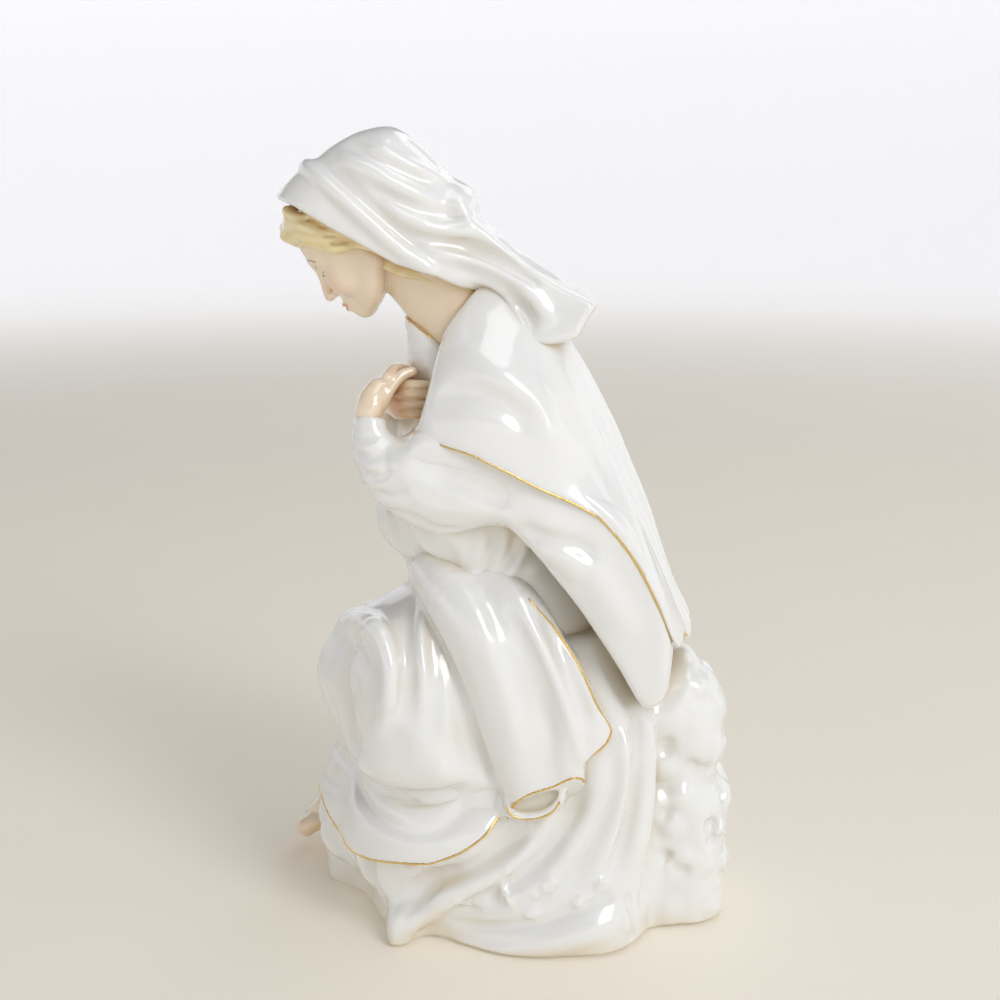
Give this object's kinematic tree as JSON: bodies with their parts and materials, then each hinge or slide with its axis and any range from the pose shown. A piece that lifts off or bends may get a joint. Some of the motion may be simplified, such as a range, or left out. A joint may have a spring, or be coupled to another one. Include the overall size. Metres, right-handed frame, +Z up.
{
  "type": "madonna statue",
  "caption": "Kneeling veiled madonna figurine in white glazed porcelain, hands crossed on the breast, seated on a rock, with fine gold hem lines.",
  "frame": {"origin": "on the resting plane under the middle of the body", "axes": "the figure looks along -Y, her left side is on +X, +Z is up"},
  "size_m": [0.0682, 0.1229, 0.1981],
  "materials": {
    "porcelain": "clear high-gloss glaze over white hard porcelain",
    "rock_porcelain": "the same glaze over a lumpy modelled rock",
    "bisque_floor": "unglazed, wiped foot of the casting",
    "skin_enamel": "pale flesh enamel over the glaze",
    "hair_enamel": "blond enamel over the glaze",
    "bright_gold": "thin bright gold line fired on the glaze"
  },
  "bodies": {
    "root": {"base_floor": "bisque_floor", "skirt_shell": "porcelain", "knee_drape": "porcelain", "lap_drape": "porcelain", "torso_shell": "porcelain", "back_mantle": "porcelain", "left_sleeve": "porcelain", "right_sleeve": "porcelain", "left_forearm": "porcelain", "right_forearm": "porcelain", "veil": "porcelain", "rock_seat": "rock_porcelain", "head": "skin_enamel", "neck": "skin_enamel", "left_hand": "skin_enamel", "right_hand": "skin_enamel", "right_foot": "skin_enamel", "hair": "hair_enamel", "mantle_gilding": "bright_gold", "skirt_gilding": "bright_gold", "lap_gilding": "bright_gold", "neckline_gilding": "bright_gold"}
  },
  "joints": []
}
